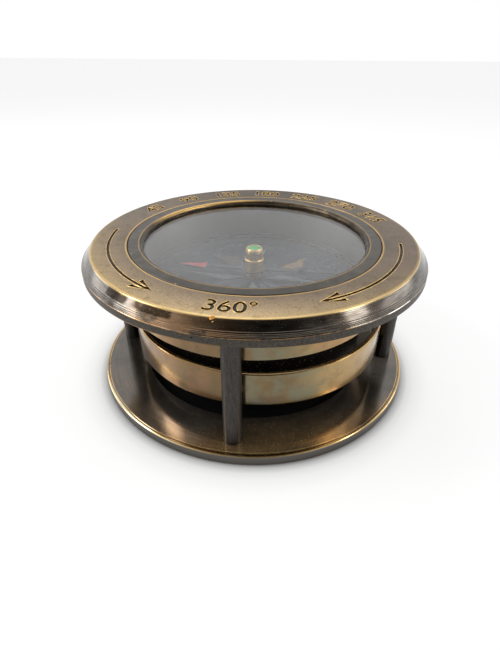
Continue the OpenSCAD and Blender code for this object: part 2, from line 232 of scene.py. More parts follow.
def step(tree, value, low, high):
    """0 below low, 1 above high, and smooth between them."""
    inputs = {"Value": value, "From Min": low, "From Max": high}
    return put(tree, "ShaderNodeMapRange", inputs, interpolation_type="SMOOTHSTEP").outputs[0]


def between(tree, factor, low, high):
    """A plain number that goes from low to high with the factor."""
    return put(tree, "ShaderNodeMapRange", {"Value": factor, "To Min": low, "To Max": high}).outputs[0]


def near(tree, value, centre, width):
    """1 at the centre, falling to 0 at that distance from it."""
    away = maths(tree, "ABSOLUTE", maths(tree, "SUBTRACT", value, centre))
    return unless(tree, step(tree, away, 0, width))


def inside(tree, radius, limit):
    """1 within that distance of the axis, else 0."""
    return maths(tree, "LESS_THAN", radius, limit)


def shades(tree, factor, stops):
    """Colours along a ramp."""
    ramp = put(tree, "ShaderNodeValToRGB", {"Fac": factor})
    marks = ramp.color_ramp.elements
    while len(marks) < len(stops):
        marks.new(0.5)
    for mark, (position, colour) in zip(marks, stops):
        mark.position = position
        mark.color = colour
    return ramp.outputs["Color"]


def two_tones(tree, fog, low, high):
    """Drifts between two colours with soft noise."""
    return shades(tree, fog, [(0.35, low), (0.65, high)])


def blend(tree, factor, under, over):
    made = put(tree, "ShaderNodeMix", {"Factor": factor}, data_type="RGBA")
    for socket, value in ((made.inputs[6], under), (made.inputs[7], over)):
        if isinstance(value, bpy.types.NodeSocket):
            tree.links.new(value, socket)
        else:
            socket.default_value = value
    return made.outputs[2]


def lay(tree, colour, mask, share, over):
    """The colour with another laid over it where the mask says, at that share of full strength."""
    return blend(tree, times(tree, mask, share), colour, over)


# Camera, lamps and surroundings

def direction(azimuth, elevation):
    a, e = math.radians(azimuth), math.radians(elevation)
    return Vector((math.cos(e) * math.cos(a), math.cos(e) * math.sin(a), math.sin(e)))


def add_camera():
    """Stands the camera at the photograph's place and aims it a little below the top face."""
    lift = math.radians(CAMERA_LIFT)
    place = Vector((0, -math.cos(lift), math.sin(lift))) * CAMERA_REACH
    forward = -place.normalized()
    right = Vector((1, 0, 0))
    up = right.cross(forward)
    aim = Matrix((right, up, -forward)).transposed()
    aim = aim @ Matrix.Rotation(math.radians(CAMERA_YAW), 3, "Y")
    aim = aim @ Matrix.Rotation(math.radians(CAMERA_PITCH), 3, "X")
    aim = aim @ Matrix.Rotation(-math.radians(CAMERA_ROLL), 3, "Z")
    turn = Matrix.Rotation(math.radians(CAMERA_TURN), 3, "Z")
    data = bpy.data.cameras.new("camera")
    data.sensor_fit = "VERTICAL"
    data.sensor_height = SENSOR
    data.lens = CAMERA_LENS
    data.clip_start = 5 * MM
    camera = bpy.data.objects.new("camera", data)
    bpy.context.scene.collection.objects.link(camera)
    camera.matrix_world = (turn @ aim).to_4x4()
    camera.location = turn @ place + Vector((0, 0, FACE_Z))
    bpy.context.scene.camera = camera


def add_softbox(name, azimuth, elevation, width, height, radiance, lean):
    """A rectangular lamp that faces the object. Width and height are the angles that it fills."""
    lamp = bpy.data.lights.new(name, "AREA")
    lamp.shape = "RECTANGLE"
    lamp.size = 2 * LAMP_REACH * math.tan(math.radians(width / 2))
    lamp.size_y = 2 * LAMP_REACH * math.tan(math.radians(height / 2))
    lamp.energy = radiance * math.pi * lamp.size * lamp.size_y
    box = bpy.data.objects.new(name, lamp)
    bpy.context.scene.collection.objects.link(box)
    away = direction(azimuth, elevation)
    leaning = Quaternion((0, 0, 1), math.radians(lean))
    box.location = Vector((0, 0, FACE_Z)) + away * LAMP_REACH
    box.rotation_euler = (away.to_track_quat("Z", "Y") @ leaning).to_euler()
    box.visible_camera = False


def dimmed(tree, look, centre, edge, core, level):
    """1 all round, falling to the level between the edge's and the core's angle from a centre."""
    outer, inner = math.cos(math.radians(edge)), math.cos(math.radians(core))
    dark = step(tree, dot(tree, look, direction(*centre)), outer, inner)
    return unless(tree, times(tree, dark, 1 - level))


def add_world():
    """White surroundings. Polished metal also sees the dark corner of the room behind the camera,
    and a slightly dimmer wall opposite it."""
    world = bpy.data.worlds.new("studio")
    world.use_nodes = True
    bpy.context.scene.world = world
    tree = world.node_tree
    tree.nodes.clear()
    rays = put(tree, "ShaderNodeLightPath").outputs
    look = put(tree, "ShaderNodeTexCoord").outputs["Generated"]
    lit = dimmed(tree, look, *DARK_CORNER)
    wall = dimmed(tree, look, *FAR_WALL)
    in_metal = times(tree, times(tree, rays["Is Glossy Ray"], lit), wall)
    in_glass = times(tree, rays["Is Transmission Ray"], lit)
    mirrored = either(tree, rays["Is Glossy Ray"], rays["Is Transmission Ray"])
    ambient = unless(tree, either(tree, rays["Is Camera Ray"], mirrored))
    level = plus(tree, rays["Is Camera Ray"], times(tree, ambient, AMBIENT_LEVEL))
    level = either(tree, level, either(tree, in_metal, in_glass))
    shade = put(tree, "ShaderNodeBackground", {"Color": (1, 1, 1, 1), "Strength": level})
    out = put(tree, "ShaderNodeOutputWorld")
    tree.links.new(shade.outputs[0], out.inputs["Surface"])


def table_white():
    """White paint with a glow that the camera and mirrors see. The glow fades towards the base as a painted
    contact shadow, and the paint is dark under the base as painted shade.
    """
    made = bpy.data.materials.new("table_white")
    made.use_nodes = True
    tree = made.node_tree
    tree.nodes.clear()
    rays = put(tree, "ShaderNodeLightPath").outputs
    seen = either(tree, rays["Is Camera Ray"], rays["Is Glossy Ray"])
    seen = either(tree, seen, rays["Is Transmission Ray"])
    radius = radius_at(tree, place_on(tree))
    # Painted contact shadow: the glow is lowest at the base's edge and rises outwards.
    past_base = maths(tree, "DIVIDE", maths(tree, "SUBTRACT", radius, BASE_R), TABLE_LIFT_W)
    lift = shades(tree, past_base, [(place, (level, level, level, 1)) for place, level in TABLE_LIFTS])
    # Painted shade: the paint turns dark under the base.
    under = step(tree, radius, BASE_R - 1 * MM, BASE_R)
    white = blend(tree, under, tint(24, 24, 24), (TABLE_WHITE, TABLE_WHITE, TABLE_WHITE, 1))
    paper = put(tree, "ShaderNodeBsdfDiffuse", {"Color": white})
    glow = put(tree, "ShaderNodeEmission", {"Strength": times(tree, seen, lift)})
    both = put(tree, "ShaderNodeAddShader", {0: paper.outputs[0], 1: glow.outputs[0]})
    put(tree, "ShaderNodeOutputMaterial", {"Surface": both.outputs[0]})
    return made


def add_floor():
    """A white table that keeps the object's soft shadow."""
    half = TABLE_HALF
    corners = [(-half, -half, 0), (half, -half, 0), (half, half, 0), (-half, half, 0)]
    mesh = bpy.data.meshes.new("table_top")
    mesh.from_pydata(corners, [], [(0, 1, 2, 3)])
    table = bpy.data.objects.new("table_top", mesh)
    bpy.context.scene.collection.objects.link(table)
    mesh.materials.append(table_white())


# Patterns

def place_on(tree):
    return put(tree, "ShaderNodeTexCoord").outputs["Object"]


def part_of(tree, at, axis):
    return put(tree, "ShaderNodeSeparateXYZ", {0: at}).outputs[axis]


def radius_at(tree, at):
    """Distance from the Z axis."""
    flat = put(tree, "ShaderNodeVectorMath", {0: at, 1: (1, 1, 0)}, operation="MULTIPLY").outputs[0]
    return put(tree, "ShaderNodeVectorMath", {0: flat}, operation="LENGTH").outputs["Value"]


def unrolled(tree, at):
    """The place on a turned piece as the length round it from the front, radius and height."""
    x, y = part_of(tree, at, "X"), part_of(tree, at, "Y")
    turn = maths(tree, "ARCTAN2", x, times(tree, y, -1))
    flat = {"X": times(tree, turn, RING_R), "Y": radius_at(tree, at), "Z": part_of(tree, at, "Z")}
    return put(tree, "ShaderNodeCombineXYZ", flat).outputs[0]


def cloud(tree, at, size, detail, stretch=(1, 1, 1), shift=0.0):
    """Soft noise from 0 to 1 with blotches of that size in metres."""
    placing = {"Vector": at, "Location": (shift, shift, shift), "Scale": stretch}
    moved = put(tree, "ShaderNodeMapping", placing).outputs[0]
    inputs = {"Vector": moved, "Scale": 1 / size, "Detail": detail, "Roughness": 0.55}
    return put(tree, "ShaderNodeTexNoise", inputs).outputs["Fac"]


def turning_lines(tree, along, pitch):
    """Noise along one direction alone, as a lathe tool leaves it."""
    inputs = {"W": along, "Scale": 1 / pitch, "Detail": 3.0, "Roughness": 0.6}
    return put(tree, "ShaderNodeTexNoise", inputs, noise_dimensions="1D").outputs["Fac"]


def specks(tree, at, size, share, shift=0.0):
    """1 on small scattered spots of about that size. A larger share gives more spots."""
    moved = put(tree, "ShaderNodeMapping", {"Vector": at, "Location": (shift, shift, shift)}).outputs[0]
    cells = put(tree, "ShaderNodeTexVoronoi", {"Vector": moved, "Scale": 1 / (3 * size)})
    chosen = put(tree, "ShaderNodeSeparateColor", {0: cells.outputs["Color"]}).outputs[0]
    chosen = maths(tree, "LESS_THAN", chosen, share)
    spot = unless(tree, step(tree, cells.outputs["Distance"], 0.1, 0.2))
    return times(tree, spot, chosen)


def toward(tree, at, azimuth, low, high):
    """0 to 1 across the object, towards that side, between two distances from the axis."""
    a = math.radians(azimuth)
    return step(tree, dot(tree, at, (math.cos(a), math.sin(a), 0)), low, high)


def facing(tree, at, azimuth, half_width):
    """1 on the side that faces that azimuth, falling to 0 at half_width degrees from it."""
    a = math.radians(azimuth)
    share = maths(tree, "DIVIDE", dot(tree, at, (math.cos(a), math.sin(a), 0)), radius_at(tree, at))
    return step(tree, share, math.cos(math.radians(half_width)), 1)


# Finishes

def finish(name, colour, metallic, roughness, **sockets):
    """Starts a material. Sockets are further plain values, with underscores for spaces."""
    made = bpy.data.materials.new(name)
    made.use_nodes = True
    made.diffuse_color = colour
    shader = made.node_tree.nodes["Principled BSDF"]
    values = {"Base Color": colour, "Metallic": metallic, "Roughness": roughness}
    values.update({key.replace("_", " "): value for key, value in sockets.items()})
    for key, value in values.items():
        shader.inputs[key].default_value = value
    return made, made.node_tree, shader


def wire(tree, shader, **sockets):
    """Feeds the shader's sockets, with underscores for spaces."""
    for key, output in sockets.items():
        tree.links.new(output, shader.inputs[key.replace("_", " ")])


def relief(tree, shader, height, depth, strength):
    """Bumps of that depth in metres."""
    inputs = {"Height": height, "Distance": depth, "Strength": strength}
    wire(tree, shader, Normal=put(tree, "ShaderNodeBump", inputs).outputs[0])


def dusty(tree, shader, colour, dust, dust_colour):
    """Lays matt dust over a metal's colour."""
    wire(tree, shader, Base_Color=blend(tree, dust, colour, dust_colour), Metallic=unless(tree, dust))


def spun(tree, shader, amount):
    """Stretches the sheen along the Z axis, as fine turning marks do."""
    around = put(tree, "ShaderNodeTangent", direction_type="RADIAL", axis="Z")
    wire(tree, shader, Tangent=around.outputs[0])
    shader.inputs["Anisotropic"].default_value = amount
    shader.inputs["Anisotropic Rotation"].default_value = 0.25


def face_patina():
    """Brown brass of the top face, rubbed bright at its edges, the outer one more so in front as a painted
    highlight. It is golden in front as a painted sheen, greyer behind with a painted dim reflection, and dark
    in the gap at its bore as painted shade.
    """
    made, tree, shader = finish("face_patina", tint(146, 126, 98), 1, 0.42)
    at = place_on(tree)
    radius = radius_at(tree, at)
    blotches = cloud(tree, at, 12 * MM, 5)
    grain = cloud(tree, at, 0.38 * MM, 3)
    dull = shades(tree, blotches, [
        (0.30, tint(78, 72, 67)), (0.44, tint(102, 94, 84)),
        (0.56, tint(116, 102, 87)), (0.72, tint(122, 105, 94))])
    # Painted dim reflection: the back of the face is darkened where it mirrors the dimmer far wall.
    dull = lay(tree, dull, facing(tree, at, 97, 46), 0.55, tint(74, 68, 61))
    across = maths(tree, "DIVIDE", maths(tree, "SUBTRACT", radius, BEZEL_R), FACE_W)
    lit_front_tone = shades(tree, across, [
        (0, tint(124, 107, 88)), (0.45, tint(154, 135, 108)),
        (0.85, tint(176, 153, 116)), (1, tint(186, 161, 118))])
    # Painted sheen: the face turns golden and brighter towards the front, where it catches the light.
    front = toward(tree, at, -108, -10 * MM, 45 * MM)
    front = times(tree, front, between(tree, cloud(tree, at, 7 * MM, 4, shift=0.7), 0.65, 1.2))
    colour = blend(tree, at_most(tree, front, 1), dull, lit_front_tone)
    mottle = step(tree, cloud(tree, at, 2.6 * MM, 6, shift=6.2), 0.5, 0.7)
    colour = lay(tree, colour, mottle, 0.4, tint(96, 78, 60))
    colour = lay(tree, colour, step(tree, grain, 0.5, 0.66), 0.42, tint(78, 64, 50))
    light_grain = step(tree, cloud(tree, at, 0.3 * MM, 2, shift=3.1), 0.55, 0.7)
    colour = lay(tree, colour, light_grain, 0.3, tint(206, 186, 150))
    polish = between(tree, cloud(tree, at, 5 * MM, 4, shift=1.7), 0.35, 1.25)
    outer = times(tree, step(tree, radius, BROW_R - 0.9 * MM, BROW_R), polish)
    # The rubbed gold of the outer edge is wear, strengthened towards the front as a painted highlight.
    outer = times(tree, outer, between(tree, toward(tree, at, -94, 5 * MM, 42 * MM), 0.45, 1.1))
    colour = blend(tree, at_most(tree, outer, 0.9), colour, tint(226, 194, 132))
    inner = times(tree, near(tree, radius, BEZEL_R + 0.35 * MM, 0.4 * MM), polish)
    colour = blend(tree, at_most(tree, inner, 1), colour, tint(206, 170, 108))
    colour = lay(tree, colour, specks(tree, at, 0.25 * MM, 0.2, 0.4), 0.6, tint(58, 46, 34))
    # Painted shade: dark in the narrow gap between the face and the bezel.
    gap = unless(tree, step(tree, part_of(tree, at, "Z"), FACE_Z - 0.3 * MM, FACE_Z - 0.12 * MM))
    gap = times(tree, gap, inside(tree, radius, BEZEL_R + 0.4 * MM))
    colour = blend(tree, gap, colour, tint(26, 22, 18))
    wire(tree, shader, Base_Color=colour, Roughness=between(tree, blotches, 0.5, 0.36))
    relief(tree, shader, plus(tree, grain, times(tree, blotches, 4)), 0.008 * MM, 0.8)
    return made


def bevel_stains(tree, at):
    """Painted dark reflections with ragged edges on the upper part of the bevel."""
    ragged = between(tree, cloud(tree, at, 1.6 * MM, 5, shift=7.7), -0.1, 2.2)
    upper = step(tree, part_of(tree, at, "Z"), FACE_Z - 2.1 * MM, FACE_Z - 1.2 * MM)
    dark_reflection = 0.0
    for azimuth, half_width, share in DARK_REFLECTIONS:
        stain_and_reflection = times(tree, facing(tree, at, azimuth, half_width), share)
        stain_and_reflection = times(tree, times(tree, stain_and_reflection, upper), ragged)
        dark_reflection = either(tree, stain_and_reflection, dark_reflection)
    return at_most(tree, dark_reflection, 1)


def bevel_patina():
    """Dark glossy bronze of the bevel, with turning streaks, smudges, white dust and gold edges. It is
    painted darker towards the front and in patches on its upper part as painted dark reflections, and near
    white on its right edge as a painted glint.
    """
    made, tree, shader = finish("bevel_patina", tint(88, 80, 72), 1, 0.16, Coat_Roughness=0.1)
    at = place_on(tree)
    radius = radius_at(tree, at)
    round_it = unrolled(tree, at)
    blotches = cloud(tree, round_it, 2.4 * MM, 4, (0.3, 1, 1), 1.3)
    colour = shades(tree, blotches, [
        (0.34, tint(60, 55, 50)), (0.46, tint(82, 76, 70)),
        (0.56, tint(96, 89, 80)), (0.68, tint(70, 64, 58))])
    # Painted dark reflection: darker towards the front, where the bevel mirrors the dark room behind the
    # camera.
    colour = lay(tree, colour, toward(tree, at, -72, 34 * MM, 49 * MM), 0.65, tint(58, 48, 38))
    worn = times(tree, facing(tree, at, -101, 20), between(tree, blotches, 0.2, 1.1))
    colour = blend(tree, worn, colour, tint(140, 104, 66))
    smudge = step(tree, cloud(tree, round_it, 3.4 * MM, 5, (0.5, 1, 1), 5.1), 0.55, 0.64)
    colour = lay(tree, colour, smudge, 0.75, tint(38, 32, 26))
    streaks = cloud(tree, round_it, 0.16 * MM, 4, (0.03, 1, 1), 2.2)
    colour = lay(tree, colour, step(tree, streaks, 0.5, 0.66), 0.28, tint(150, 142, 128))
    colour = lay(tree, colour, step(tree, streaks, 0.5, 0.34), 0.3, tint(48, 43, 38))
    scuffs = step(tree, cloud(tree, at, 3 * MM, 5, shift=0.6), 0.35, 0.6)
    edge = times(tree, near(tree, radius, RING_R, 0.18 * MM), scuffs)
    # Painted glint: the rubbed gold edge turns near white on the side towards azimuth -42.
    rubbed_edge_and_glint = blend(tree, facing(tree, at, -42, 18), tint(180, 140, 96), tint(246, 240, 228))
    colour = blend(tree, edge, colour, rubbed_edge_and_glint)
    # Painted dark reflections: dark patches that break the bevel's highlight, with less coat where they lie.
    dark_reflection = bevel_stains(tree, at)
    colour = lay(tree, colour, dark_reflection, 0.94, tint(32, 25, 18))
    colour = lay(tree, colour, near(tree, radius, BROW_R - 0.05 * MM, 0.4 * MM), 0.9, tint(222, 190, 130))
    dust = either(tree, specks(tree, at, 0.11 * MM, 0.3, 0.2), specks(tree, at, 0.16 * MM, 0.1, 4.2))
    dusty(tree, shader, colour, times(tree, dust, 0.5), tint(176, 170, 158))
    gloss = times(tree, unless(tree, dark_reflection), 0.4)
    wire(tree, shader, Coat_Weight=gloss, Roughness=between(tree, blotches, 0.11, 0.2))
    relief(tree, shader, plus(tree, streaks, cloud(tree, at, 0.6 * MM, 3)), 0.003 * MM, 0.5)
    return made


def band_patina():
    """Matt grey-brown of the upright band, with a rubbed line along its top and part of its foot."""
    made, tree, shader = finish("band_patina", tint(56, 52, 47), 0.6, 0.44)
    at = place_on(tree)
    height = part_of(tree, at, "Z")
    colour = two_tones(tree, cloud(tree, at, 0.4 * MM, 5), tint(42, 39, 35), tint(78, 74, 67))
    colour = lay(tree, colour, cloud(tree, at, 8 * MM, 3), 0.4, tint(70, 58, 45))
    scuffs = step(tree, cloud(tree, at, 3 * MM, 5, shift=0.6), 0.35, 0.6)
    top = times(tree, near(tree, height, RING_FOOT_Z + BAND_H, 0.14 * MM), scuffs)
    foot = near(tree, height, RING_FOOT_Z + 0.25 * MM, 0.16 * MM)
    foot = times(tree, foot, toward(tree, at, -134, 34 * MM, 46 * MM))
    colour = blend(tree, either(tree, top, foot), colour, tint(176, 136, 84))
    colour = lay(tree, colour, specks(tree, at, 0.16 * MM, 0.3, 1.1), 0.5, tint(150, 144, 132))
    wire(tree, shader, Base_Color=colour)
    relief(tree, shader, cloud(tree, at, 0.25 * MM, 3), 0.012 * MM, 0.7)
    return made


def bezel_patina():
    """Grey satin bezel with gold edges and a dark bronze roll down to the glass. It is painted darker towards
    the front, and dark at its outer edge in the gap, as painted shade.
    """
    made, tree, shader = finish("bezel_patina", tint(92, 88, 82), 0.9, 0.36)
    at = place_on(tree)
    radius = radius_at(tree, at)
    grey = two_tones(tree, cloud(tree, at, 2.5 * MM, 5), tint(76, 73, 69), tint(96, 91, 84))
    # Painted shade: the grey is darkened towards the front.
    grey = lay(tree, grey, facing(tree, at, -86, 60), 0.6, tint(60, 57, 53))
    bronze = cloud(tree, at, 3 * MM, 5, shift=0.4)
    bronze = shades(tree, bronze, [(0.38, tint(58, 52, 44)), (0.62, tint(88, 76, 60))])
    rubbed = times(tree, toward(tree, at, 132, 24 * MM, 32 * MM), step(tree, radius, *ROLL_RUBBED_R))
    bronze = lay(tree, bronze, rubbed, 0.85, tint(196, 158, 96))
    colour = blend(tree, step(tree, radius, WINDOW_R - 0.15 * MM, WINDOW_R + 0.05 * MM), bronze, grey)
    scuffs = between(tree, cloud(tree, at, 2.5 * MM, 4, shift=0.9), 0.2, 1.3)
    rim = at_most(tree, times(tree, near(tree, radius, WINDOW_R, 0.22 * MM), scuffs), 1)
    colour = blend(tree, rim, colour, tint(190, 154, 98))
    colour = blend(tree, specks(tree, at, 0.4 * MM, 0.03, 2.2), colour, tint(186, 148, 100))
    # Painted shade: dark at the outer edge, in the gap round the bezel.
    gap = step(tree, radius, BEZEL_R - 0.28 * MM, BEZEL_R - 0.1 * MM)
    colour = blend(tree, gap, colour, tint(30, 26, 22))
    rough = between(tree, step(tree, radius, ROLL_EDGE_R, WINDOW_R), 0.24, 0.42)
    wire(tree, shader, Base_Color=colour, Roughness=rough)
    relief(tree, shader, cloud(tree, at, 0.4 * MM, 3), 0.006 * MM, 0.7)
    return made


def band_brass(name, low_z, high_z, wall_r, bore_colour, shift_x=0.0):
    """Bare brass band: dull brown in front, golden at the sides, with a pink and blue-green
    tarnish, rubbed edges at two heights and a darker bore."""
    made, tree, shader = finish(name, tint(170, 140, 92), 1, 0.2, Coat_Weight=0.5, Coat_Roughness=0.1)
    at = put(tree, "ShaderNodeMapping", {"Vector": place_on(tree), "Location": (-shift_x, 0, 0)}).outputs[0]
    height = part_of(tree, at, "Z")
    hue = cloud(tree, at, 11 * MM, 4)
    golden = shades(tree, hue, [
        (0.32, tint(150, 130, 88)), (0.5, tint(180, 147, 90)), (0.68, tint(164, 125, 80))])
    dull = shades(tree, hue, [
        (0.34, tint(102, 88, 60)), (0.5, tint(112, 90, 54)), (0.70, tint(98, 76, 52))])
    front = toward(tree, at, -92, 0.8 * wall_r, 0.97 * wall_r)
    colour = blend(tree, front, golden, dull)
    colour = lay(tree, colour, facing(tree, at, -165, 45), 0.5, tint(112, 92, 60))
    clouds = step(tree, cloud(tree, at, 6 * MM, 5, shift=4.4), 0.36, 0.6)
    pink = times(tree, facing(tree, at, -122, 30), clouds)
    colour = lay(tree, colour, pink, 0.6, tint(148, 108, 80))
    green = times(tree, facing(tree, at, -74, 26), clouds)
    colour = lay(tree, colour, green, 0.5, tint(116, 122, 104))
    stain_and_reflection = step(tree, cloud(tree, at, 5 * MM, 5, shift=0.9), 0.5, 0.75)
    colour = lay(tree, colour, stain_and_reflection, 0.4, tint(116, 88, 58))
    pits = either(tree, specks(tree, at, 0.25 * MM, 0.1, 0.3), specks(tree, at, 0.5 * MM, 0.03, 2.3))
    colour = lay(tree, colour, pits, 0.65, tint(70, 52, 36))
    edges = either(tree, near(tree, height, low_z, 0.3 * MM), near(tree, height, high_z, 0.3 * MM))
    colour = lay(tree, colour, edges, 0.6, tint(208, 174, 116))
    bore = inside(tree, radius_at(tree, at), wall_r - 0.6 * MM)
    colour = lay(tree, colour, bore, 0.9, bore_colour)
    rough = plus(tree, between(tree, stain_and_reflection, 0.17, 0.27), times(tree, bore, 0.2))
    wire(tree, shader, Base_Color=colour, Roughness=rough)
    spun(tree, shader, 0.3)
    lines = turning_lines(tree, height, 0.4 * MM)
    relief(tree, shader, plus(tree, lines, cloud(tree, at, 2 * MM, 3)), 0.002 * MM, 0.6)
    return made


def base_bronze(tree, at, radius, front, shaded):
    """Colour of the base's flat top: grey behind, brown in front, with a pale patch at the front left as a
    painted reflection, and dark round the opening and at the back right as painted shade.
    """
    blotches = cloud(tree, at, 9 * MM, 5, shift=2.1)
    grey = shades(tree, blotches, [
        (0.34, tint(80, 76, 73)), (0.5, tint(98, 92, 87)), (0.68, tint(112, 101, 90))])
    brown = shades(tree, blotches, [
        (0.34, tint(108, 87, 60)), (0.5, tint(136, 108, 73)), (0.68, tint(152, 123, 84))])
    colour = blend(tree, front, grey, brown)
    # Painted reflection: a pale patch at the front left, where the base mirrors the ring's lit side.
    colour = lay(tree, colour, facing(tree, at, -113, 17), 0.8, tint(154, 146, 138))
    # Painted shade: dark round the opening, under the ring and bowl, and in the shaded zone.
    inner = unless(tree, step(tree, radius, HOLE_R + 3 * MM, HOLE_R + 10 * MM))
    inner = either(tree, times(tree, inner, 0.62), times(tree, shaded, 0.9))
    colour = blend(tree, inner, colour, tint(56, 48, 38))
    turned_in = cloud(tree, unrolled(tree, at), 0.5 * MM, 4, (0.04, 1, 1), 0.8)
    colour = lay(tree, colour, step(tree, turned_in, 0.55, 0.4), 0.35, tint(62, 54, 46))
    return colour, blotches


def base_dust(tree, at, front, ledge):
    """Specks in a thin even haze, on the flat top and mostly in front."""
    dust = either(tree, specks(tree, at, 0.24 * MM, 0.75, 0.5), specks(tree, at, 0.4 * MM, 0.3, 1.5))
    haze = between(tree, cloud(tree, at, 1.6 * MM, 5, shift=3.3), DUST_HAZE * 0.6, DUST_HAZE * 1.4)
    haze = times(tree, haze, between(tree, front, 0.5, 1))
    dust = either(tree, times(tree, dust, between(tree, front, 0.25, 0.7)), haze)
    return times(tree, dust, unless(tree, ledge))


def base_patina():
    """Bronze under a thin brown haze, glossy enough to mirror the ring, with a rubbed rim. It carries a
    painted glint on its ledge at the front left, a painted shadow line in the ledge's step, and painted shade
    at the back right and round the opening.
    """
    made, tree, shader = finish("base_patina", tint(104, 95, 86), 0.9, 0.16, Coat_Roughness=0.1)
    at = place_on(tree)
    radius = radius_at(tree, at)
    front = toward(tree, at, -74, 30 * MM, 46 * MM)
    # Painted shade: a matt dark zone at the back right, without metal, coat or specular sheen.
    shaded = times(tree, unless(tree, step(tree, radius, *BASE_SHADED_R)), facing(tree, at, 14, 40))
    colour, blotches = base_bronze(tree, at, radius, front, shaded)
    ledge = step(tree, radius, LEDGE_R - 0.05 * MM, LEDGE_R + 0.05 * MM)
    # Painted glint: the ledge turns near white at the front left, where it catches the lamp.
    bright = blend(tree, facing(tree, at, -127, 26), tint(158, 134, 98), tint(236, 224, 196))
    colour = blend(tree, ledge, colour, bright)
    # Painted shadow: a dark line in the step of the ledge.
    colour = blend(tree, near(tree, radius, LEDGE_R + 0.14 * MM, 0.16 * MM), colour, tint(34, 28, 22))
    ledge_line = near(tree, radius, LEDGE_R - 0.14 * MM, 0.2 * MM)
    lines = either(tree, ledge_line, near(tree, radius, BASE_R - 0.3 * MM, 0.24 * MM))
    scuffs = step(tree, cloud(tree, at, 4 * MM, 4, shift=0.1), 0.25, 0.5)
    colour = lay(tree, colour, lines, scuffs, tint(220, 184, 122))
    side = step(tree, radius, BASE_R - 0.1 * MM, BASE_R - 0.03 * MM)
    colour = blend(tree, side, colour, tint(98, 94, 88))
    dust = base_dust(tree, at, front, ledge)
    dust_colour = blend(tree, front, tint(158, 150, 138), tint(166, 142, 104))
    shiny = unless(tree, shaded)
    rough = plus(tree, between(tree, blotches, 0.11, 0.2), times(tree, side, 0.3))
    wire(tree, shader,
         Base_Color=blend(tree, dust, colour, dust_colour),
         Metallic=times(tree, unless(tree, dust), shiny),
         Roughness=plus(tree, rough, times(tree, shaded, 0.3)),
         Coat_Weight=times(tree, shiny, 0.4),
         Specular_IOR_Level=times(tree, shiny, 0.5))
    relief(tree, shader, cloud(tree, at, 1.5 * MM, 3), 0.004 * MM, 0.5)
    return made


def pillar_patina():
    """Dark grey turned rod with faint streaks down its length, fine dust and a sheen at its sides."""
    made, tree, shader = finish("pillar_patina", tint(74, 71, 68), 0.9, 0.34)
    at = place_on(tree)
    streaks = cloud(tree, at, 0.12 * MM, 3, (1, 1, 0.03))
    colour = shades(tree, streaks, [
        (0.36, tint(60, 58, 56)), (0.54, tint(74, 71, 68)), (0.7, tint(90, 86, 81))])
    mottle = step(tree, cloud(tree, at, 0.35 * MM, 3, shift=1.1), 0.45, 0.65)
    colour = lay(tree, colour, mottle, 0.45, tint(44, 42, 40))
    foot = near(tree, part_of(tree, at, "Z"), BASE_TOP_Z, 1.2 * MM)
    colour = lay(tree, colour, foot, 0.5, tint(44, 40, 36))
    dusty(tree, shader, colour, times(tree, specks(tree, at, 0.26 * MM, 0.4), 0.4), tint(130, 124, 112))
    wire(tree, shader, Roughness=between(tree, streaks, 0.32, 0.42))
    spun(tree, shader, 0.8)
    relief(tree, shader, streaks, 0.003 * MM, 0.5)
    return made


def bowl_black():
    """Blackened spun bowl under many specks of dust."""
    made, tree, shader = finish("bowl_black", tint(32, 28, 24), 0.6, 0.4)
    at = place_on(tree)
    colour = two_tones(tree, cloud(tree, at, 6 * MM, 4), tint(22, 20, 18), tint(38, 33, 28))
    dust = either(tree, specks(tree, at, 0.26 * MM, 0.7), specks(tree, at, 0.4 * MM, 0.25, 0.8))
    wire(tree, shader, Base_Color=lay(tree, colour, dust, 0.7, tint(196, 166, 116)))
    relief(tree, shader, cloud(tree, at, 0.5 * MM, 3), 0.008 * MM, 0.6)
    return made


def plain_metal(name, colour, shade, roughness, metallic=1, size=2 * MM):
    """A small turned piece with a little unevenness in its colour and sheen."""
    made, tree, shader = finish(name, colour, metallic, roughness)
    at = place_on(tree)
    fog = cloud(tree, at, size, 4)
    wire(tree, shader, Base_Color=two_tones(tree, fog, shade, colour),
         Roughness=between(tree, fog, roughness * 1.3, roughness * 0.8))
    relief(tree, shader, cloud(tree, at, size / 5, 3), 0.01 * MM, 0.4)
    return made


def needle_paint():
    """Red paint down the middle of the arrowhead, and dark blued steel round it."""
    made, tree, shader = finish("needle_paint", tint(190, 30, 40), 0, 0.35)
    at = place_on(tree)
    along = part_of(tree, at, "X")
    from_tip = maths(tree, "SUBTRACT", along, PAINT_TIP_X)
    over = maths(tree, "ABSOLUTE", part_of(tree, at, "Y"))
    over = maths(tree, "SUBTRACT", over, times(tree, from_tip, PAINT_SLOPE))
    head = unless(tree, step(tree, along, ARROWHEAD_X, ARROWHEAD_X + 0.2 * MM))
    head = times(tree, head, unless(tree, step(tree, over, -0.1 * MM, 0.1 * MM)))
    red = two_tones(tree, cloud(tree, at, 1.5 * MM, 3), tint(186, 24, 34), tint(212, 44, 50))
    blued = cloud(tree, at, 1.5 * MM, 3, shift=0.5)
    blued = two_tones(tree, blued, tint(24, 28, 38), tint(44, 50, 62))
    wire(tree, shader, Base_Color=blend(tree, head, blued, red))
    return made


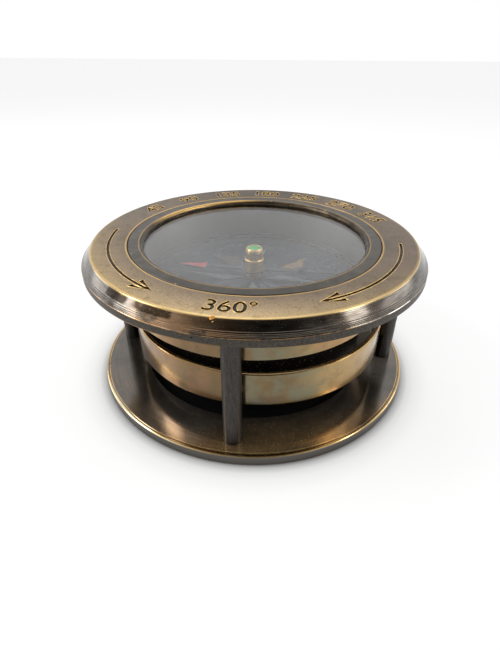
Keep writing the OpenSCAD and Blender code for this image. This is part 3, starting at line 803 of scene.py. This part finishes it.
def card_paper():
    """Dark blue-grey card with grey clouds where the print has worn off."""
    made, tree, shader = finish("card_paper", tint(34, 46, 58), 0, 0.6)
    at = place_on(tree)
    colour = two_tones(tree, cloud(tree, at, 5 * MM, 4), tint(28, 38, 50), tint(46, 56, 66))
    worn = step(tree, cloud(tree, at, 3.5 * MM, 4, shift=2.4), 0.55, 0.72)
    colour = lay(tree, colour, worn, 0.5, tint(104, 106, 104))
    colour = lay(tree, colour, cloud(tree, at, 0.3 * MM, 2), 0.3, tint(62, 70, 78))
    wire(tree, shader, Base_Color=colour)
    relief(tree, shader, cloud(tree, at, 0.2 * MM, 3), 0.01 * MM, 0.5)
    return made


def print_ink(name, colour, rubbed=0.0):
    """Printed colour, a little worn, and rubbed thinner towards the left."""
    made, tree, shader = finish(name, colour, 0, 0.6)
    at = place_on(tree)
    worn = times(tree, step(tree, cloud(tree, at, 2.2 * MM, 4), 0.45, 0.65), 0.6)
    left = times(tree, toward(tree, at, 180, -6 * MM, 6 * MM), rubbed)
    wire(tree, shader, Base_Color=blend(tree, either(tree, worn, left), colour, tint(48, 58, 70)))
    return made


def clear_glass():
    """Clear glass with a few specks of dust."""
    made, tree, shader = finish("clear_glass", (1, 1, 1, 1), 0, 0.0, IOR=1.5, Transmission_Weight=1.0)
    wire(tree, shader, Roughness=times(tree, specks(tree, place_on(tree), 0.2 * MM, 0.12), 0.4))
    return made


def cap_brass():
    """Bright turned brass, whose sheen runs up and down."""
    made, tree, shader = finish("cap_brass", tint(240, 206, 140), 1, 0.38)
    at = place_on(tree)
    fog = cloud(tree, at, 0.8 * MM, 3)
    wire(tree, shader, Base_Color=two_tones(tree, fog, tint(226, 188, 120), tint(246, 214, 150)))
    spun(tree, shader, 0.85)
    relief(tree, shader, turning_lines(tree, part_of(tree, at, "Z"), 0.12 * MM), 0.004 * MM, 0.5)
    return made


def enamel(name, deep, bright, roughness=0.12):
    """Clouded colour under a gloss."""
    made, tree, shader = finish(name, bright, 0, roughness, Coat_Weight=0.5)
    fog = cloud(tree, place_on(tree), 1.5 * MM, 3)
    wire(tree, shader, Base_Color=two_tones(tree, fog, deep, bright))
    return made


FACE = face_patina()
BEVEL = bevel_patina()
BAND = band_patina()
GOLD = plain_metal("rubbed_gold", tint(226, 192, 128), tint(180, 144, 90), 0.3)
CUT_FLOOR = plain_metal("cut_floor", tint(66, 58, 48), tint(30, 26, 22), 0.5, 0.5, 0.4 * MM)
NICK_GOLD = plain_metal("nick_gold", tint(250, 206, 122), tint(230, 174, 96), 0.5)
NICK_DARK = plain_metal("nick_dark", tint(30, 26, 22), tint(20, 18, 16), 0.6, 0.3)
PALE_INK = print_ink("pale_ink", tint(132, 142, 146))
DIM_INK = print_ink("dim_ink", tint(84, 94, 102))
TAN_INK = print_ink("tan_ink", tint(156, 124, 84), 0.8)
BLACK_INK = print_ink("black_ink", tint(16, 20, 26))
NODE_FINISH = {
    "base_plate": base_patina(),
    "pillar_front": pillar_patina(),
    "bezel_ring": bezel_patina(),
    "skirt_tube": band_brass("skirt_brass", SKIRT_FOOT_Z, SKIRT_FOOT_Z, SKIRT_R, tint(106, 96, 80)),
    "gimbal_ring": band_brass(
        "gimbal_brass", GIMBAL_FOOT_Z, GIMBAL_TOP_Z, GIMBAL_R, tint(120, 98, 66), GIMBAL_SHIFT),
    "base_screws": plain_metal("screw_brass", tint(190, 152, 92), tint(140, 108, 66), 0.35),
    "pivot_screw_left": plain_metal("pivot_brass", tint(170, 140, 92), tint(120, 96, 62), 0.35),
    "bowl_shell": bowl_black(),
    "bowl_bushes": plain_metal("bush_brass", tint(206, 166, 100), tint(160, 124, 74), 0.3),
    "bowl_weight": plain_metal("weight_brass", tint(190, 152, 92), tint(140, 108, 66), 0.4),
    "dial_card": card_paper(),
    "dial_ring": plain_metal("dial_ring_bronze", tint(112, 98, 70), tint(76, 68, 52), 0.4),
    "pivot_post": plain_metal("post_brass", tint(196, 158, 96), tint(146, 114, 68), 0.3),
    "pivot_point": plain_metal("point_steel", tint(176, 180, 186), tint(140, 144, 150), 0.2),
    "needle_blade": needle_paint(),
    "balance_rider": plain_metal("rider_black", tint(44, 48, 54), tint(28, 30, 34), 0.4),
    "needle_cap": cap_brass(),
    "cap_enamel": enamel("green_enamel", tint(2, 176, 80), tint(6, 204, 98), 0.6),
    "cap_jewel": enamel("ruby", tint(110, 16, 30), tint(150, 24, 40)),
    "glass_gasket": plain_metal("black_rubber", tint(30, 30, 30), tint(20, 20, 20), 0.6, 0),
    "glass_retainer": plain_metal("retainer_brass", tint(196, 158, 96), tint(146, 114, 68), 0.35),
    "cover_glass": clear_glass(),
}
SAME_FINISH = {
    "pillar_right": "pillar_front", "pillar_back": "pillar_front", "pillar_left": "pillar_front",
    "pivot_screw_right": "pivot_screw_left", "bowl_pivot_screws": "pivot_screw_left",
    "weight_screw": "base_screws", "post_nut": "pivot_post",
}


def dress_nodes():
    """Gives every shown node of the frame its finish."""
    for name, node in nodes.items():
        made = NODE_FINISH.get(SAME_FINISH.get(name, name))
        if made:
            node.data.materials.clear()
            node.data.materials.append(made)


# Shapes

def new_piece(name, mesh, *finishes):
    piece = bpy.data.objects.new(name, mesh)
    bpy.context.scene.collection.objects.link(piece)
    for made in finishes:
        mesh.materials.append(made)
    return piece


def mesh_of(shape, name):
    """Ends the work on a shape and gives its mesh."""
    mesh = bpy.data.meshes.new(name)
    shape.to_mesh(mesh)
    shape.free()
    return mesh


def joined(meshes):
    """One shape of several meshes, with their doubles merged."""
    shape = bmesh.new()
    for mesh in meshes:
        shape.from_mesh(mesh)
    bmesh.ops.remove_doubles(shape, verts=shape.verts, dist=MERGED)
    return shape


def plain_mesh(piece):
    """The mesh of a piece with its modifiers applied."""
    bpy.context.view_layer.update()
    graph = bpy.context.evaluated_depsgraph_get()
    return bpy.data.meshes.new_from_object(piece.evaluated_get(graph))


def keep_result(piece):
    """Turns a piece and its modifiers into a plain mesh."""
    mesh = plain_mesh(piece)
    piece.modifiers.clear()
    piece.data = mesh
    return piece


def polar(r, azimuth):
    a = math.radians(azimuth)
    return r * math.cos(a), r * math.sin(a)


def rounded(corners):
    """A closed section whose corners (r, z, rounding) are rounded off."""
    section = []
    count = len(corners)
    for i, (r, z, rounding) in enumerate(corners):
        here = Vector((r, z))
        if rounding == 0:
            section.append(here)
            continue
        back = (Vector(corners[i - 1][:2]) - here).normalized()
        on = (Vector(corners[(i + 1) % count][:2]) - here).normalized()
        half = back.angle(on) / 2
        reach = rounding / math.tan(half)
        centre = here + (back + on).normalized() * rounding / math.sin(half)
        first = (here + back * reach - centre).normalized()
        last = (here + on * reach - centre).normalized()
        for k in range(ROUNDING_STEPS + 1):
            section.append(centre + first.slerp(last, k / ROUNDING_STEPS) * rounding)
    return section


def turned(name, section, finish_at, finishes):
    """A turned piece. finish_at gives the number of the finish at a place of the section."""
    shape = bmesh.new()
    rings = []
    for k in range(AROUND):
        a = 2 * math.pi * k / AROUND
        rings.append([shape.verts.new((p.x * math.cos(a), p.x * math.sin(a), p.y)) for p in section])
    count = len(section)
    for k in range(AROUND):
        this, following = rings[k], rings[(k + 1) % AROUND]
        for i in range(count):
            j = (i + 1) % count
            face = shape.faces.new((this[i], this[j], following[j], following[i]))
            face.material_index = finish_at((section[i] + section[j]) / 2)
            face.smooth = True
    bmesh.ops.recalc_face_normals(shape, faces=shape.faces)
    return new_piece(name, mesh_of(shape, name), *finishes)


def groove_points(low, high, places, width, depth):
    """Points of a straight flank from low to high, with a fine V groove at each place, 0 to 1."""
    along = high - low
    into = Vector((along.y, -along.x)).normalized() * -depth
    half = width / 2 / along.length
    points = []
    for t in places:
        points += [low + along * (t - half), low + along * t + into, low + along * (t + half)]
    return points


def engraved_ring():
    """The top ring: its turned section, before the engraving is cut."""
    band_z = RING_FOOT_Z + BAND_H
    seat_z = RING_FOOT_Z + SKIRT_SEAT_H
    foot = Vector((RING_R, band_z))
    brow = Vector((BROW_R, FACE_Z))
    bore_r = BEZEL_R + SEAT_GAP
    seat_r = SKIRT_R + SEAT_GAP
    grooves = [(p.x, p.y, 0) for p in groove_points(foot, brow, GROOVES_AT, GROOVE_W, GROOVE_DEPTH)]
    section = rounded([
        (seat_r, RING_FOOT_Z, 0), (RING_R, RING_FOOT_Z, FOOT_ROUNDING),
        (foot.x, foot.y, BAND_ROUNDING), *grooves, (brow.x, brow.y, BROW_ROUNDING),
        (bore_r, FACE_Z, BORE_ROUNDING), (bore_r, seat_z, 0), (seat_r, seat_z, 0)])

    def finish_at(p):
        if p.x < BROW_R - 0.1 * MM:
            return 0
        return 1 if p.y > band_z - 0.02 * MM else 2
    return turned("top_ring_engraved", section, finish_at, (FACE, BEVEL, BAND, CUT_FLOOR))


def arrow_outline(length):
    """Outline of an open-barbed arrow, from its tail at 0 to its tip at length, as (along, across)."""
    barb = length - BARB_BACK
    side = [(SHAFT_TAPER, SHAFT_HALF_W), (length - SHAFT_END, SHAFT_HALF_W),
            (barb + BARB_SLANT, BARB_OUT - BARB_W), (barb, BARB_OUT)]
    return [(0, 0), *side, (length, 0), *[(s, -t) for s, t in reversed(side)]]


def flat_shape(name, loops):
    """A flat mesh with one face inside each outline."""
    shape = bmesh.new()
    for loop in loops:
        shape.faces.new([shape.verts.new((x, y, 0)) for x, y in loop])
    return mesh_of(shape, name)


def number_shape(text, height):
    """A flat mesh of that number, centred across and standing on its baseline."""
    data = bpy.data.curves.new("number_" + text, "FONT")
    data.body = text
    data.align_x = "CENTER"
    data.size = height / FIGURE_SHARE
    data.offset = STROKE_GAIN
    data.resolution_u = 4
    carrier = bpy.data.objects.new("number_" + text, data)
    bpy.context.scene.collection.objects.link(carrier)
    mesh = plain_mesh(carrier)
    bpy.data.objects.remove(carrier)
    return mesh


def finely_cut(mesh):
    """Splits the outline's long edges, so that the shape can follow an arc."""
    shape = joined([mesh])
    for _ in range(6):
        long_edges = [e for e in shape.edges if e.calc_length() > ARC_STEP and len(e.link_faces) == 1]
        if not long_edges:
            break
        bmesh.ops.subdivide_edges(shape, edges=long_edges, cuts=1)
    shape.to_mesh(mesh)
    shape.free()
    return mesh


def round_the_ring(mesh, bearing, clockwise, base_r, outward, middle_r=CUT_R):
    """Bends a flat shape into an arc: x runs round it from that bearing, y runs across it."""
    for v in mesh.vertices:
        r = base_r + v.co.y * (1 if outward else -1)
        turn = v.co.x / middle_r * (-1 if clockwise else 1)
        a = math.radians(bearing) + turn
        v.co = (r * math.cos(a), r * math.sin(a), FACE_Z)


def engraving_shapes():
    """Flat meshes of all that is cut into the top face, in place."""
    shapes = []
    length = CUT_R * math.radians(ARROW_START - ARROW_TIP)
    for side, clockwise in ((1, True), (-1, False)):
        mesh = finely_cut(flat_shape("arrow", [arrow_outline(length)]))
        round_the_ring(mesh, -90 + side * ARROW_START, clockwise, CUT_R, True)
        shapes.append(mesh)
    front = finely_cut(number_shape("360°", CHARACTER_H))
    round_the_ring(front, -90, False, CUT_R + CHARACTER_H / 2, False)
    shapes.append(front)
    gap = (LAST_BEARING_AT - FIRST_BEARING_AT) / (len(BEARINGS) - 1)
    for i, value in enumerate(BEARINGS):
        mesh = finely_cut(number_shape(str(value), CHARACTER_H))
        round_the_ring(mesh, FIRST_BEARING_AT + gap * i, True, CUT_R - CHARACTER_H / 2, True)
        shapes.append(mesh)
    return shapes


def prism(name, meshes, low_z, high_z, made):
    """One closed body over flat shapes, between two heights."""
    shape = joined(meshes)
    grown = bmesh.ops.extrude_face_region(shape, geom=shape.faces[:], use_keep_orig=True)
    lower = set(v for v in grown["geom"] if isinstance(v, bmesh.types.BMVert))
    for v in shape.verts:
        v.co.z = low_z if v in lower else high_z
    bmesh.ops.recalc_face_normals(shape, faces=shape.faces)
    return new_piece(name, mesh_of(shape, name), made)


def nick_cutter(name, nicks, made):
    """Small lumps that chip the ring's edges."""
    shape = bmesh.new()
    for azimuth, r, z, size in nicks:
        x, y = polar(r * MM, azimuth)
        place = Matrix.Translation((x, y, z * MM)) @ Matrix.Rotation(math.radians(azimuth), 4, "Z")
        place = place @ Matrix.Rotation(math.radians(NICK_SLANT), 4, "Z") @ Matrix.Diagonal(NICK_SHAPE)
        bmesh.ops.create_icosphere(shape, subdivisions=1, radius=size * MM, matrix=place)
    return new_piece(name, mesh_of(shape, name), made)


def stud_holes():
    """Cutters for the four holes that take the pillars' studs."""
    shape = bmesh.new()
    for quarter in range(4):
        x, y = polar(PILLAR_CIRCLE_R, 90 * quarter)
        place = Matrix.Translation((x, y, RING_FOOT_Z))
        bmesh.ops.create_cone(shape, cap_ends=True, segments=32, radius1=STUD_R, radius2=STUD_R,
                              depth=2 * STUD_H, matrix=place)
    return new_piece("stud_cutter", mesh_of(shape, "stud_cutter"), BAND)


def cut_away(piece, *cutters):
    """Cuts the cutters out of the piece and discards them. Cut faces take the cutter's finish."""
    for cutter in cutters:
        cut = piece.modifiers.new("cut", "BOOLEAN")
        cut.object = cutter
        cut.solver = "EXACT"
        cut.material_mode = "TRANSFER"
    keep_result(piece)
    for cutter in cutters:
        bpy.data.objects.remove(cutter)
    piece.data.set_sharp_from_angle(angle=math.radians(SHARP_FROM))
    return piece


def begun_tree(name, inputs):
    """A node tree for shapes, with its inputs as (name, kind, value), and the finish last."""
    tree = bpy.data.node_groups.new(name, "GeometryNodeTree")
    tree.interface.new_socket("Geometry", in_out="INPUT", socket_type="NodeSocketGeometry")
    tree.interface.new_socket("Geometry", in_out="OUTPUT", socket_type="NodeSocketGeometry")
    for label, kind, value in inputs:
        tree.interface.new_socket(label, in_out="INPUT", socket_type=kind).default_value = value
    tree.interface.new_socket("Finish", in_out="INPUT", socket_type="NodeSocketMaterial")
    return tree, put(tree, "NodeGroupInput").outputs


def ended_tree(tree, geometry, made):
    """Realizes what the tree has made, gives it its finish and hands it out."""
    real = put(tree, "GeometryNodeRealizeInstances", {"Geometry": geometry})
    dressed = put(tree, "GeometryNodeSetMaterial", {"Geometry": real.outputs[0], "Material": made})
    put(tree, "NodeGroupOutput", {"Geometry": dressed.outputs[0]})
    return tree


def follow_edges(name):
    """Node tree: a round bead of the given radius along every edge of a wire."""
    tree, given = begun_tree(name, [("Bead Radius", "NodeSocketFloat", LIP_R)])
    path = put(tree, "GeometryNodeMeshToCurve", {"Mesh": given["Geometry"]})
    size = {"Resolution": 6, "Radius": given["Bead Radius"]}
    ring = put(tree, "GeometryNodeCurvePrimitiveCircle", size).outputs["Curve"]
    bead = put(tree, "GeometryNodeCurveToMesh", {"Curve": path.outputs[0], "Profile Curve": ring})
    return ended_tree(tree, bead.outputs["Mesh"], given["Finish"])


def round_row(name):
    """Node tree: a row of small bars that point outwards all round a circle."""
    tree, given = begun_tree(name, [
        ("Count", "NodeSocketInt", TICK_COUNT), ("Circle Radius", "NodeSocketFloat", TICKS_R),
        ("Bar Size", "NodeSocketVector", (*TICK, PRINT_LAYER))])
    size = {"Vertices": given["Count"], "Radius": given["Circle Radius"]}
    circle = put(tree, "GeometryNodeMeshCircle", size)
    bar = put(tree, "GeometryNodeMeshCube", {"Size": given["Bar Size"]})
    share = maths(tree, "DIVIDE", put(tree, "GeometryNodeInputIndex").outputs[0], given["Count"])
    angle = put(tree, "ShaderNodeCombineXYZ", {"Z": times(tree, share, 2 * math.pi)})
    inputs = {"Points": circle.outputs[0], "Instance": bar.outputs[0], "Rotation": angle.outputs[0]}
    row = put(tree, "GeometryNodeInstanceOnPoints", inputs)
    return ended_tree(tree, row.outputs[0], given["Finish"])


def run_tree(piece, tree, **values):
    """Runs a node tree on a piece, with its inputs by name, and keeps the plain mesh."""
    worker = piece.modifiers.new(tree.name, "NODES")
    worker.node_group = tree
    wanted = {key.replace("_", " "): value for key, value in values.items()}
    for item in tree.interface.items_tree:
        if item.item_type == "SOCKET" and item.in_out == "INPUT" and item.name in wanted:
            worker[item.identifier] = wanted[item.name]
    return keep_result(piece)


def engraving_lips(shapes):
    """The gold burr that punching raised round every cut."""
    shape = joined(shapes)
    inner = [e for e in shape.edges if len(e.link_faces) != 1]
    bmesh.ops.delete(shape, geom=shape.faces[:], context="FACES_ONLY")
    bmesh.ops.delete(shape, geom=[e for e in inner if e.is_valid], context="EDGES")
    mesh = mesh_of(shape, "engraving_lips")
    for v in mesh.vertices:
        v.co.z -= 0.5 * LIP_R
    piece = new_piece("engraving_lips", mesh)
    run_tree(piece, follow_edges("burr"), Bead_Radius=LIP_R, Finish=GOLD)
    for face in piece.data.polygons:
        face.use_smooth = True
    return piece


# Print on the card

def star_halves(count, turn, foot_r, tip_r, waist_r, waist_turn):
    """Halves of a star's rays, all on the same side of their midlines."""
    loops = []
    for i in range(count):
        mid = turn + 360 / count * i
        loops.append([polar(foot_r * MM, mid), polar(tip_r * MM, mid), polar(waist_r * MM, mid + waist_turn)])
    return loops


def leaves(count, turn, foot_r, tip_r, width):
    """Pointed leaves that stand round the post."""
    loops = []
    for i in range(count):
        mid = math.radians(turn + 360 / count * i)
        side = [(foot_r + (tip_r - foot_r) * t, width / 2 * math.sin(math.pi * t)) for t in LEAF_STEPS]
        outline = [(foot_r, 0), *side, (tip_r, 0), *[(u, -w) for u, w in reversed(side)]]
        cosine, sine = math.cos(mid), math.sin(mid)
        loops.append([((u * cosine - w * sine) * MM, (u * sine + w * cosine) * MM) for u, w in outline])
    return loops


def circle_lines(radii, width):
    """Thin flat rings, as quads."""
    loops = []
    for inner in radii:
        outer = inner + width
        for k in range(CIRCLE_QUADS):
            a, b = 360 * k / CIRCLE_QUADS, 360 * (k + 1) / CIRCLE_QUADS
            corners = ((inner, a), (outer, a), (outer, b), (inner, b))
            loops.append([polar(r * MM, angle) for r, angle in corners])
    return loops


def printed(name, shapes, layer, ink):
    piece = prism(name, shapes, CARD_Z, CARD_Z + layer * PRINT_LAYER, ink)
    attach(piece, "bowl")
    return piece


def tick_row(name, ink):
    piece = new_piece(name, bpy.data.meshes.new(name))
    run_tree(piece, round_row(name),
             Count=TICK_COUNT, Circle_Radius=TICKS_R, Bar_Size=(*TICK, PRINT_LAYER), Finish=ink)
    for v in piece.data.vertices:
        v.co.z += CARD_Z + PRINT_LAYER / 2
    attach(piece, "bowl")
    return piece


# Half rays of the rose: name, turn from the card's north, foot, tip, waist, waist's turn, layer, ink
RAYS = (
    ("rose_tan", 51, 9.5, 23, 16, -22, 2, TAN_INK),
    ("rose_brown", 51, 9.5, 23, 14, 14, 2, BLACK_INK),
    ("rose_pale", 0, 3, 24, 8.5, 22, 3, PALE_INK),
    ("rose_black", 0, 3, 24, 8.5, -22, 3, BLACK_INK),
)


def print_card():
    """A rose of rays and leaves, with plain marks and ticks round it."""
    printed("rose_leaves", [flat_shape("leaves", leaves(*LEAF_ROW))], 1, DIM_INK)
    for name, turn, foot_r, tip_r, waist_r, waist_turn, layer, ink in RAYS:
        rays = star_halves(4, CARD_TURN + turn, foot_r, tip_r, waist_r, waist_turn)
        printed(name, [flat_shape("rays", rays)], layer, ink)
    printed("card_circles", [flat_shape("circles", circle_lines(CIRCLES, CIRCLE_W))], 4, DIM_INK)
    tick_row("card_ticks", DIM_INK)
    marks = []
    for i, text in enumerate(CARD_MARKS):
        mesh = number_shape(text, MARK_H)
        round_the_ring(mesh, CARD_TURN - 30 * i, True, MARK_R - MARK_H / 2, True, MARK_R)
        marks.append(mesh)
    printed("card_marks", marks, 2, DIM_INK)


add_camera()
bpy.context.scene.view_settings.view_transform = "Standard"
add_world()
add_floor()
for lamp in LAMPS:
    add_softbox(*lamp)
dress_nodes()
shapes = engraving_shapes()
engraving = prism("engraving_cutter", shapes, FACE_Z - CUT_DEPTH, FACE_Z + CUT_DEPTH, CUT_FLOOR)
gold_nicks = nick_cutter("gold_nicks", GOLD_NICKS, NICK_GOLD)
dark_nicks = nick_cutter("dark_nicks", DARK_NICKS, NICK_DARK)
top_ring = cut_away(engraved_ring(), engraving, stud_holes(), gold_nicks, dark_nicks)
lips = engraving_lips(shapes)
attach(top_ring, "frame")
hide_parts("top_ring")
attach(lips, "frame")
print_card()
